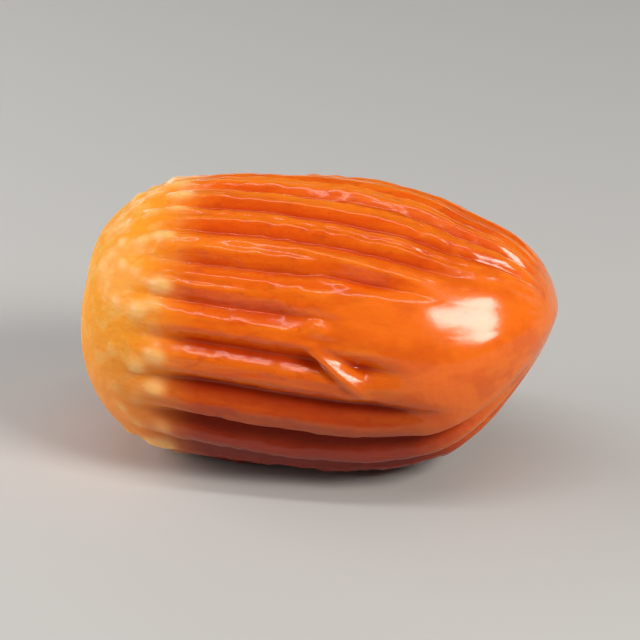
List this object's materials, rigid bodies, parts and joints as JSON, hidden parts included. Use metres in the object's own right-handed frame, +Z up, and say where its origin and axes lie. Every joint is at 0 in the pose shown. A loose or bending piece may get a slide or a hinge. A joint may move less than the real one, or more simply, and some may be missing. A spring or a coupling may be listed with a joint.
{
  "type": "tulumba",
  "caption": "Short plump length of ridged fried dough soaked in syrup, with a smooth blunt end and a tapered end, lying on its side.",
  "frame": {"origin": "on the surface the piece lies on, under the middle of its box", "axes": "+X along the piece from its blunt end to its tapered end, +Z up"},
  "size_m": [0.048, 0.0298, 0.0291],
  "materials": {
    "syrup_dough": "wet glossy syrup over fried dough: orange sides, yellow blunt end, deep red-brown creases"
  },
  "bodies": {
    "root": {"tulumba": "syrup_dough"}
  },
  "joints": []
}
